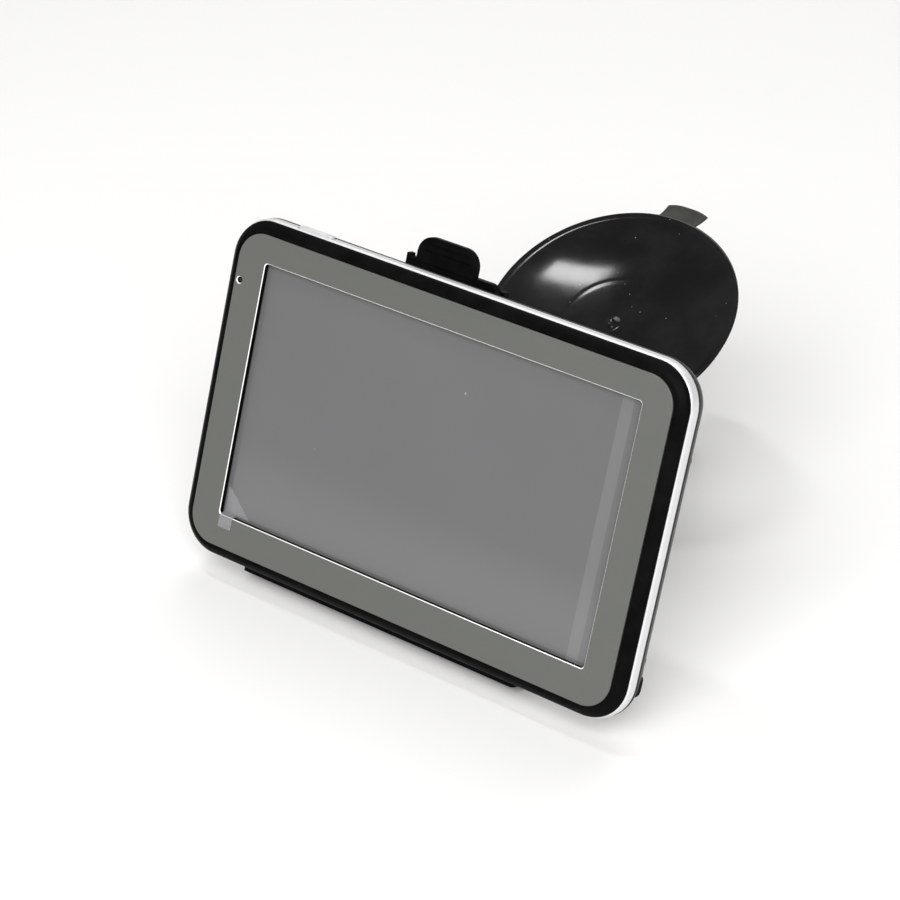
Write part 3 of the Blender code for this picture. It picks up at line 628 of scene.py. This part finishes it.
def back_shell():
    """The back cover, with its ports, screw wells, speaker slots and the notch the latch holds."""
    inner = [(-3.0, 11.3), (-1.6, 11.0), (0.4, 9.9), (1.3, 8.2), (1.8, 6.4), (2.0, SEAM_REAR)]
    outer = [
        (3.25, SEAM_REAR), (3.35, SEAM_REAR + 0.25), (3.1, 6.6), (2.35, 8.4), (1.05, 10.25),
        (-0.8, 11.75), (-3.4, BODY_T)]
    section = inner + curved(outer, 5)
    made = thing("back_shell", loft([body_loop(a, y) for a, y in section]), DEVICE, GRAINED)
    bosses = [rod("Y", (x, 10.4, z), 2.6, 1.2, 48) for x, z in SCREWS]
    holes = [rod("Y", (x, 13.0, z), 2.0, 2.9, 48) for x, z in SCREWS]
    holes += [rod("Y", (x, 10, z), 1.1, 3, 32) for x, z in SCREWS]
    holes.append(soft_box((-75, -60), (7.5, 11.0), (USB_Z - 4.3, USB_Z + 4.3), 0.6, "X"))
    holes.append(soft_box((-75, -60), (7.9, 9.5), (CARD_Z - 5.8, CARD_Z + 5.8), 0.5, "X"))
    holes.append(rod("X", (-68, JACK_Y, JACK_Z), 2.1, 6, 48))
    holes.append(soft_box(
        (61, 70), (STYLUS_Y - 2.2, STYLUS_Y + 2.2), (STYLUS_Z - 2.9, STYLUS_Z + 2.9), 1.8, "X"))
    notch_x = (MOUNT_X - LATCH_HALF - 0.5, MOUNT_X + LATCH_HALF + 0.5)
    holes.append(box(notch_x, (8.4, 11.0), (41.2, 50)))
    speaker_x, speaker_z = SPEAKER_AT
    for row in range(-2, 3):
        z, reach = speaker_z + 3 * row, 7 - abs(row)
        holes.append(soft_box(
            (speaker_x - reach, speaker_x + reach), (10.9, 14), (z - 0.6, z + 0.6), 0.58, "Y"))
    shaped(made, DEVICE, join=bosses, cut=holes)
    finished(made, "navigator", "rear_cover", crease=30)


def screw_heads():
    """Recessed cross-head screws."""
    screw = [
        (0.8, 4.0), (0.8, 10.3), (1.45, 10.3), (1.6, 10.45), (1.55, 10.9), (1.2, 11.15), (0.7, 11.25)]
    for i, (x, z) in enumerate(SCREWS, start=1):
        made = thing(f"cross_screw_{i}", turned(screw, "Y", (x, 0, z), 48), DEVICE, STEEL)
        cross = [box((x - a, x + a), (10.75, 12), (z - b, z + b)) for a, b in ((0.95, 0.2), (0.2, 0.95))]
        shaped(made, DEVICE, cut=cross)
        finished(made, "navigator", f"case_screw_{i}")


# ---------------------------------------------------------------- screen
def screen():
    """The display's face, the film on it, the film's adhesive corner and its pull tab."""
    panel = thing("display_face", loft([window_loop(3, SCREEN_DEPTH), window_loop(3, 2.9)]), DEVICE, GLASS)
    finished(panel, "navigator", "touch_panel")
    loops = [
        window_loop(-0.35, FILM_DEPTH + 0.03), window_loop(-0.3, FILM_DEPTH),
        window_loop(-0.3, FILM_DEPTH + FILM_T), window_loop(-0.35, FILM_DEPTH + FILM_T),
    ]
    film = thing("screen_protector", loft(loops), DEVICE, FILM)
    finished(film, "navigator", "screen_film")
    left, bottom = -WINDOW_W / 2, -WINDOW_H / 2
    corner = [(left + 0.4, bottom + 0.4), (left + 8.6, bottom + 0.4), (left + 0.4, bottom + 7.4)]
    label = thing("film_corner", prism(corner, "Y", FILM_DEPTH - 0.06, FILM_DEPTH - 0.01), DEVICE, LABEL)
    finished(label, "navigator", None)
    tab_x = (left + 0.35, left + 4.5)
    bend = [
        (FILM_DEPTH, bottom + 0.6), (0.9, bottom + 0.35), (-0.08, bottom - 0.15), (-0.16, bottom - 1.4),
        (-0.2, bottom - 3.2)]
    rows = [[(x, y, z) for x in tab_x] for y, z in curved(bend, 5)]
    tab = thing("film_tab", sheet(rows), DEVICE, LABEL)
    thick = tab.modifiers.new("thickness", "SOLIDIFY")
    thick.thickness = FILM_T * MM
    apply_steps(tab)
    finished(tab, "navigator", None)


def pen():
    """The stylus: a soft rounded head, flattened like the case's edge, on a round shank."""
    y, z = STYLUS_Y, STYLUS_Z
    head = soft_box((63.8, 66.4), (y - 1.9, y + 1.9), (z - 2.6, z + 2.6), 1.5, "X")
    made = thing("pen", head, DEVICE, JET)
    shank = turned([(1.5, 64.2), (1.5, -11.0), (1.1, -13.0), (0.5, -15.6)], "X", (0, y, z))
    shaped(made, DEVICE, join=[shank], edge=0.6, steps=4)
    finished(made, "pen", "stylus")


# ---------------------------------------------------------------- cradle
def cradle_body():
    """The cradle's back plate with its lip, the two rails for the ball's plate and their stop."""
    foot = LIP_HALF
    corners = [
        (-foot, LIP_BOTTOM, 1.5), (foot, LIP_BOTTOM, 1.5), (foot, -33, 5), (21, -24, 8),
        (21, 12, 10), (LATCH_HALF, 26.5, 1), (-LATCH_HALF, 26.5, 1), (-21, 12, 10),
        (-21, -24, 8), (-foot, -33, 5),
    ]
    flat = at_mount(rounded(corners))
    made = thing("cradle_body", prism(flat, "Y", CRADLE_FRONT, CRADLE_BACK), DEVICE, JET)
    lip_x = (MOUNT_X - foot, MOUNT_X + foot)
    parts = [soft_box(lip_x, (LIP_FRONT, CRADLE_FRONT + 1), (LIP_BOTTOM, LIP_TOP), 1.2, "Z")]
    rail = [(15.3, 14.5), (18.3, 14.5), (18.3, 20.4), (12.5, 20.4), (12.5, 19.0), (15.3, 19.0)]
    for side in (-1, 1):
        parts.append(prism([(MOUNT_X + side * a, b) for a, b in rail], "Z", BALL_UP - 13, BALL_UP + 12))
    parts.append(box((MOUNT_X - 6, MOUNT_X + 6), (14.5, 18.4), (BALL_UP - 16, BALL_UP - 13.3)))
    shaped(made, DEVICE, join=parts, edge=0.45, steps=3)
    finished(made, "navigator", "cradle")


def latch():
    """The tongue with its bar and its push tab, whose front face has two finger grooves."""
    half = LATCH_HALF
    x = (MOUNT_X - half, MOUNT_X + half)
    made = thing("latch_tongue", box(x, (CRADLE_FRONT, CRADLE_BACK), (26.8, 42.2)), DEVICE, JET)
    beam = rounded([(-half, 41.6, 0), (half, 41.6, 0), (half, 44.2, 2.0), (-half, 44.2, 0)])
    root = [
        (10.2, 41.7), (10.8, 42.0), (13.0, 41.0), (15.2, 41.0), (15.2, 42.2), (10.6, 43.6), (10.2, 43.6)]
    push = rounded([(-10.7, 43.6, 0), (7.0, 43.6, 0), (7.0, 50.3, 4.3), (-10.7, 50.3, 4.3)])
    parts = [
        prism(at_mount(beam), "Y", 9.0, 11.0),
        prism(root, "X", x[0] + 0.4, x[1] - 2.0),
        prism(at_mount(push), "Y", 9.0, 10.7),
        box((x[0], x[0] + 1.2), (9.0, 11.0), (43.5, 44.9)),
    ]
    grooves = [
        soft_box((MOUNT_X + left, MOUNT_X + right), (8.6, 9.3), (z - 0.3, z + 0.3), 0.28, "Y")
        for left, right, z in ((-7.2, 4.6, 48.3), (-9.4, 5.6, 46.5))]
    shaped(made, DEVICE, join=parts, cut=grooves, edge=0.3, steps=3)
    finished(made, "latch", "cradle_latch")


def rail_plate():
    """The plate in the cradle's rails, with the ball's stub."""
    corners = [(s * a, b, 2) for s, a, b in ((-1, 15, -13), (1, 15, -13), (1, 15, 13), (-1, 15, 13))]
    flat = at_mount(rounded(corners), BALL_UP)
    made = thing("rail_plate", prism(flat, "Y", 15.6, 18.7), DEVICE, SATIN)
    stub = turned([(6.0, 18.5), (6.0, 19.0), (4.2, 19.8), (STUB_R, 21.5), (STUB_R, BALL_DEPTH + 4)],
                  "Y", (MOUNT_X, 0, BALL_UP))
    tap = rod("Y", (MOUNT_X, BALL_DEPTH + 4, BALL_UP), 1.3, 7, 32)
    shaped(made, DEVICE, join=[stub], cut=[tap], edge=0.3)
    finished(made, "navigator", "head_plate")


# ---------------------------------------------------------------- ball joint and arm
def ball():
    """The swivel ball, bored for its stub, with a well for the head of its screw."""
    bore, well, well_floor = STUB_R + GAP, 4.0, 4.3
    well_angle = math.degrees(math.asin(well / BALL_R))
    bore_angle = 180 - math.degrees(math.asin(bore / BALL_R))
    profile = sphere_arc(BALL_R, well_angle, bore_angle, 40) + [(bore, well_floor), (well, well_floor)]
    centre = (MOUNT_X, BALL_DEPTH, BALL_UP)
    made = thing("ball_joint", turned(profile, "Y", centre, ring=True), DEVICE, SATIN)
    finished(made, "ball", "swivel_ball")


def ring_nut():
    """The clamp ring: a knurled band between two smooth lands."""
    knurl_low, knurl_high, ribs, rib_depth = -3.8, 5.2, 36, 0.45
    inner = sphere_arc(BALL_R + GAP, 88, 130, 10)[::-1]
    profile = [
        (SOCKET_R + GAP, 7.0), (RING_R - 0.4, 7.0), (RING_R, 6.6), (RING_R, 5.6), (RING_R, knurl_high),
        (RING_R, knurl_low), (RING_R, -4.2), (RING_R, -4.5), (14.2, -6.2), (12, -7.2), (8.1, -7.2), *inner,
        (SOCKET_R + GAP, 0.3)]
    bm = turned(profile, "Y", sides=180, ring=True)
    for vert in bm.verts:
        outside = math.hypot(vert.co.x, vert.co.z) > RING_R - 0.1
        if outside and knurl_low - 0.1 < vert.co.y < knurl_high + 0.1:
            angle = math.atan2(vert.co.z, vert.co.x)
            shrink = 1 - rib_depth * (0.5 - 0.5 * math.cos(ribs * angle)) / RING_R
            vert.co.x *= shrink
            vert.co.z *= shrink
    finished(thing("ring_nut", bm, ARM, GRAINED), "ring", "clamp_ring")


def arm():
    """The arm: a socket for the ball, a tapering beam with a pocket on each side, and the knuckle's eye."""
    socket = [(10.3, 0.8), (SOCKET_R, 0.8), (SOCKET_R, 9.0), (12.4, 10.6), (9.0, 14.0)]
    made = thing("mount_arm", turned(socket, "Y"), ARM, SATIN)
    far = ARM_LENGTH
    beam = [
        (9, -7.5), (9, 7.5), (16, 7.0), (50, 5.6), (far - 14, 4.6), (far, 6), (far, -6),
        (far - 14, -5.6), (50, -6.6), (16, -7.5)]
    wide = [(9, -8.0), (9, 8.0), (16, 7.4), (50, 6.0), (66, 5.3), (66, -6.3), (50, -7.0), (16, -8.0)]
    solids = [prism(beam, "X", -EYE_HALF, EYE_HALF), prism(wide, "X", -7.5, 7.5)]
    solids.append(rod("X", (0, far, 0), KNUCKLE_R - 0.5, EYE_HALF, 96))
    pocket = [(20, -4.6), (20, 4.2), (60, 2.6), (60, -3.6)]
    holes = [prism(pocket, "X", 4.5, 9.0), prism(pocket, "X", -9.0, -4.5)]
    holes.append(turned(sphere_arc(SEAT_OUT + GAP, 0, 90, 24) + [(SEAT_OUT + GAP, -3)], "Y"))
    holes.append(rod("X", (0, far, 0), BOLT_R + GAP, 20))
    shaped(made, ARM, join=solids, cut=holes, edge=0.5, steps=3)
    finished(made, "arm", "support_arm")


# ---------------------------------------------------------------- suction base
def base_shell():
    """The hard shell behind the rubber, with the two ears of the knuckle."""
    low = -STALK
    dome = curved([(26, -8.2), (22.5, -13.6), (17.5, -18.6), (14.5, -22.0), (12.5, -24.0)], 5)
    made = thing("base_shell", turned([(24, -6.6), (26, -6.6), *dome]), CUP, SATIN)
    neck, foot = 9.5, KNUCKLE_R
    arc = [math.radians(180 + 180 * k / 40) for k in range(41)]
    ear = [(neck, -20.0), (-neck, -20.0), (-foot, low + 8)]
    ear += [(foot * math.cos(a), low + foot * math.sin(a)) for a in arc]
    ear += [(foot, low + 8)]
    solids = [prism(ear, "X", *sorted((s * EAR_IN, s * EAR_OUT))) for s in (-1, 1)]
    solids.append(box((-EAR_OUT + 1, EAR_OUT - 1), (-4.0, 2.5), (low + KNUCKLE_R + 1.2, -20)))
    slot = [
        (LEVER_Y - 6, LEVER_Z + 5.2), (LEVER_Y + 4, LEVER_Z + 5.2), (24, LEVER_Z + 6.5),
        (30, LEVER_Z + 16), (40, LEVER_Z - 30), (12, LEVER_Z - 14), (LEVER_Y - 6, LEVER_Z - 5.4)]
    holes = [
        turned([(13.6, -4), (13.6, -13.0)]), rod("Z", (0, 0, -17), 5.6, 5.5), prism(slot, "X", -4.4, 4.4),
        rod("X", (0, LEVER_Y, LEVER_Z), 1.7, 30, 32), rod("X", (0, 0, low), BOLT_R + GAP, 30),
        rod("X", (EAR_OUT + 1, 0, low), 4.9, 4.3, 6),
    ]
    shaped(made, CUP, join=solids, cut=holes, edge=0.4, steps=3)
    finished(made, "base", "base_cap")


def knob():
    """The hand knob on the bolt: eight soft lobes, with a dimple in its face."""
    low, face_x = -STALK, -EAR_OUT - 9.0
    count, lobes = 192, 8
    edge = []
    for k in range(count):
        angle = 2 * math.pi * k / count
        radius = 9.1 + 0.5 * math.cos(lobes * angle)
        edge.append((radius * math.cos(angle), low + radius * math.sin(angle)))
    made = thing("hand_knob", prism(edge, "X", face_x, -EAR_OUT - GAP), CUP, GRAINED)
    bore = rod("X", (-EAR_OUT, 0, low), BOLT_R + GAP, 8)
    dimple = turned([(5.6, -0.8), (6.6, 0.5)], "X", (face_x, 0, low))
    shaped(made, CUP, cut=[bore, dimple], edge=0.6, steps=3)
    finished(made, "knob", "tension_knob")


def bolt_and_washers():
    """The knuckle's hexagon bolt, and a friction washer on each side of the arm's eye."""
    low = -STALK
    shaft_end, head_at = -16.5, EAR_OUT - 1.6
    shaft = turned([(BOLT_R, shaft_end), (BOLT_R, EAR_OUT - 1.2)], "X", (0, 0, low), 64)
    made = thing("hex_bolt", shaft, CUP, STEEL)
    head = rod("X", (head_at, 0, low), 4.3, 1.4, 6)
    shaped(made, CUP, join=[head], edge=0.25)
    finished(made, "base", "pivot_bolt")
    section = [(7.5, 0.2), (7.4, 0.3), (BOLT_R + GAP, 0.3), (BOLT_R + GAP, -0.3), (7.4, -0.3), (7.5, -0.2)]
    for side, name in ((-1, "left"), (1, "right")):
        middle = side * (EYE_HALF + EAR_IN) / 2
        ring = turned(section, "X", (middle, 0, low), ring=True)
        washer = thing(f"friction_washer_{name}", ring, CUP, TAB_RUBBER)
        finished(washer, "base", f"washer_{name}")


def swung(points, share):
    """Points of the lever, swung out by a share of its swing."""
    turn = Matrix.Rotation(-LEVER_SWING * share, 3, "X")
    pivot = Vector((0, LEVER_Y, LEVER_Z))
    moved = [pivot + turn @ (Vector((0, a, b)) - pivot) for a, b in points]
    return [(p.y, p.z) for p in moved]


def lock_lever():
    """The lever at rest, swung out; its paddle has three grip grooves."""
    py, pz = LEVER_Y, LEVER_Z
    blade = [
        (py + 1, pz + 1.6), (17.0, pz - 1.8), (24.5, -14.0), (30.6, -8.0), (32.4, -10.4), (25.5, -18.0),
        (17.5, pz - 6.0), (py - 1, pz - 3.4)]
    paddle = [(21.5, -16.7), (24.5, -14.0), (30.6, -8.0), (32.4, -10.4), (25.5, -18.0), (22.2, -20.4)]
    finger = [(py - 3.9, pz + 0.8), (py, pz + 2.0), (py, pz - 2.0), (py - 3.9, pz - 0.5)]
    made = thing("lock_lever", prism(swung(blade, 1), "X", -3.9, 3.9), CUP, SATIN)
    solids = [
        prism(swung(paddle, 1), "X", -6.0, 6.0), rod("X", (0, py, pz), 3.2, 3.8),
        prism(swung(finger, 0.5), "X", -3.6, 3.6)]
    grooves = []
    for k in range(3):
        a, b = 26.6 + 1.7 * k, -16.7 + 1.87 * k
        notch = [(a, b), (a + 0.55, b - 0.6), (a + 1.1, b + 0.1), (a + 0.5, b + 0.7)]
        grooves.append(prism(swung(notch, 1), "X", -4.6, 4.6))
    shaped(made, CUP, join=solids, cut=[*grooves, rod("X", (0, py, pz), 1.7, 9, 32)], edge=0.35, steps=3)
    finished(made, "lever", "lever")


# ---------------------------------------------------------------- suction cup
def dish(radius):
    """Depth of the suction face below the flat sealing lip."""
    return CUP_DEPTH * (1 - min(radius / SEAL_R, 1.0) ** 2.4)


def face_relief(radius):
    """Height added to the dish: a faint moulded ring over the plunger's disc and a nub in the middle."""
    ring = 0.05 * math.exp(-((radius - DISC_R) / 0.45) ** 2)
    nub = 0.55 * math.exp(-((radius - 1.1) / 0.55) ** 2)
    return ring + nub


def rubber_cup():
    """The suction face as one skin, tied to no body, and the skirt behind it."""
    count, rim = 72, CUP_R - 0.25
    radii = [rim - rim * k / count for k in range(count)]
    front = [(r, face_relief(r) - dish(r)) for r in radii[::-1]] + [(CUP_R - 0.05, -0.12)]
    back = [(r, -dish(r) - SKIN_T * min(1.0, (CUP_R - r) / 3)) for r in radii]
    skin = thing("suction_face", turned(front + back, sides=144), CUP, DISH_RUBBER)
    finished(skin, None, "suction_cup")
    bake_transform(skin)
    inside = [(SKIRT_IN + 0.9 * k, -dish(SKIRT_IN + 0.9 * k) - SKIN_T - 1.6 + 0.13 * k) for k in range(12)]
    outside = curved([(33.4, -1.5), (30, -3.6), (25, -5.4), (SKIRT_IN, -5.7)], 5)
    profile = inside + [(33.0, -0.95)] + outside
    skirt = thing("rubber_skirt", turned(profile, sides=144, ring=True), CUP, DISH_RUBBER)
    finished(skirt, "base", None)


def coil_spring():
    """The return spring: a fixed coil of wire, tied to no body."""
    turns, per_turn, around, radius, wire = 3, 48, 12, 8.0, 0.4
    top, bottom = -8.9, -12.1
    count = turns * per_turn
    bm = bmesh.new()
    rings = []
    section = [2 * math.pi * i / around for i in range(around)]
    for k in range(count + 1):
        angle = 2 * math.pi * k / per_turn
        outward = Vector((math.cos(angle), math.sin(angle), 0))
        middle = radius * outward + Vector((0, 0, top + (bottom - top) * k / count))
        rings.append([
            bm.verts.new(middle + wire * (math.cos(a) * outward + Vector((0, 0, math.sin(a)))))
            for a in section])
    for a, b in zip(rings, rings[1:]):
        for i in range(around):
            bm.faces.new((a[i], a[i - 1], b[i - 1], b[i]))
    bm.faces.new(rings[0])
    bm.faces.new(rings[-1])
    made = thing("coil_spring", bm, CUP, STEEL)
    finished(made, None, "return_spring")
    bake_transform(made)


def peel_tab():
    """The tongue at the far rim that is pulled to let air in; it curls up towards its tip."""
    across, lengthwise = 14, 12
    rows = []
    for j in range(lengthwise + 1):
        t = j / lengthwise
        left, right = -5.9 + 1.5 * t, 5.2 + 3.0 * t
        y = 33.1 + 4.7 * t
        lift = 1.7 * t ** 2.2 - 0.55
        row = []
        for i in range(across + 1):
            s = 2 * i / across - 1
            x = (left + right) / 2 + s * (right - left) / 2
            corner = 1.9 * t ** 3 * max(0.0, abs(s) - 0.35) ** 2
            row.append((x, y - corner + 0.45 * (1 - t) * (1 - s * s), lift - 0.5 * t * s * s))
        rows.append(row)
    made = thing("peel_tab", sheet(rows), CUP, TAB_RUBBER)
    thick = made.modifiers.new("thickness", "SOLIDIFY")
    thick.thickness = 1.0 * MM
    thick.offset = 0
    smooth = made.modifiers.new("smooth", "SUBSURF")
    smooth.levels = smooth.render_levels = 1
    apply_steps(made)
    finished(made, "base", None, crease=60)


# ---------------------------------------------------------------- the pieces that keep their CAD shape
def dress(nodes, material):
    """Gives nodes of the frame a material."""
    for name in nodes:
        mesh = frame["nodes"][name].data
        mesh.materials.clear()
        mesh.materials.append(material)


def inner_pieces():
    """The pieces inside the case and the mount, which keep the meshes of the CAD."""
    dress(["main_board"], BOARD)
    dress(["processor_shield", "power_switch", "usb_socket", "card_socket"], TINNED)
    dress(["gps_antenna"], CERAMIC)
    dress(["battery"], WRAP)
    dress(["lcd_module"], DISPLAY_BACK)
    dress(["status_led_lens"], LENS)
    dress(["speaker", "memory_card", "earphone_jack", "stylus_tube", "plunger"], SATIN)
    dress(["ball_screw", "lever_pin"], STEEL)
    dress(["ball_seat"], TAB_RUBBER)


# ---------------------------------------------------------------- studio
CAMERA_FROM_WINDOW = Vector((0.38224, -0.47976, 0.36229))
CAMERA_TURN, CAMERA_DOWN = math.radians(37.868), math.radians(30.408)
LENS_MM, SENSOR_MM, SHIFT = 120.0, 36.0, 2 / 900
FLOOR_HALF = 2500
SKY_COLOUR, SKY_STRENGTH = (1.0, 0.995, 0.985, 1), 0.28


def camera():
    """The photograph's camera, placed from the middle of the display window."""
    data = bpy.data.cameras.new("camera")
    data.lens = LENS_MM
    data.sensor_width = SENSOR_MM
    data.shift_y = SHIFT
    made = bpy.data.objects.new("camera", data)
    made.location = DEVICE @ Vector((0, 0, 0)) + CAMERA_FROM_WINDOW
    made.rotation_euler = (math.pi / 2 - CAMERA_DOWN, 0, CAMERA_TURN)
    bpy.context.scene.collection.objects.link(made)
    bpy.context.scene.camera = made


def soft_light(name, at, target, size, power, roll=0.0):
    """A rectangular light aimed at a target; sizes in metres, power in watts, roll in degrees."""
    data = bpy.data.lights.new(name, "AREA")
    data.shape = "RECTANGLE"
    data.size, data.size_y = size
    data.energy = power
    made = bpy.data.objects.new(name, data)
    made.location = at
    aim = (Vector(target) - Vector(at)).to_track_quat("-Z", "Y")
    made.rotation_euler = (aim @ Quaternion((0, 0, 1), math.radians(roll))).to_euler()
    bpy.context.scene.collection.objects.link(made)


def studio():
    """The floor, the even light of the room and three lamps."""
    bm = bmesh.new()
    bmesh.ops.create_grid(bm, x_segments=8, y_segments=8, size=FLOOR_HALF)
    floor = thing("floor", bm, Matrix.Scale(MM, 4), pale_floor())
    world = bpy.data.worlds.new("studio")
    world.use_nodes = True
    sky = world.node_tree.nodes["Background"].inputs
    sky["Color"].default_value = SKY_COLOUR
    sky["Strength"].default_value = SKY_STRENGTH
    bpy.context.scene.world = world
    soft_light("softbox", (-0.335, -0.085, 1.082), (-0.008, 0.03, 0.05), (0.085, 0.24), 1.7, roll=-25)
    soft_light("back_fill", (-0.3, 1.0, 1.3), (0, 0.1, 0), (1.4, 1.0), 12.0)
    soft_light("front_fill", (0.50, -1.00, 1.0), (0, 0, 0.03), (1.6, 1.0), 31.0)
    bpy.context.scene.view_settings.view_transform = "Standard"


camera()
for make in (
        face_plate, front_rim, silver_band, button_cap, back_shell, screw_heads, screen, pen,
        cradle_body, latch, rail_plate, ball, ring_nut, arm, base_shell, knob, bolt_and_washers,
        lock_lever, rubber_cup, coil_spring, peel_tab, inner_pieces, studio):
    make()
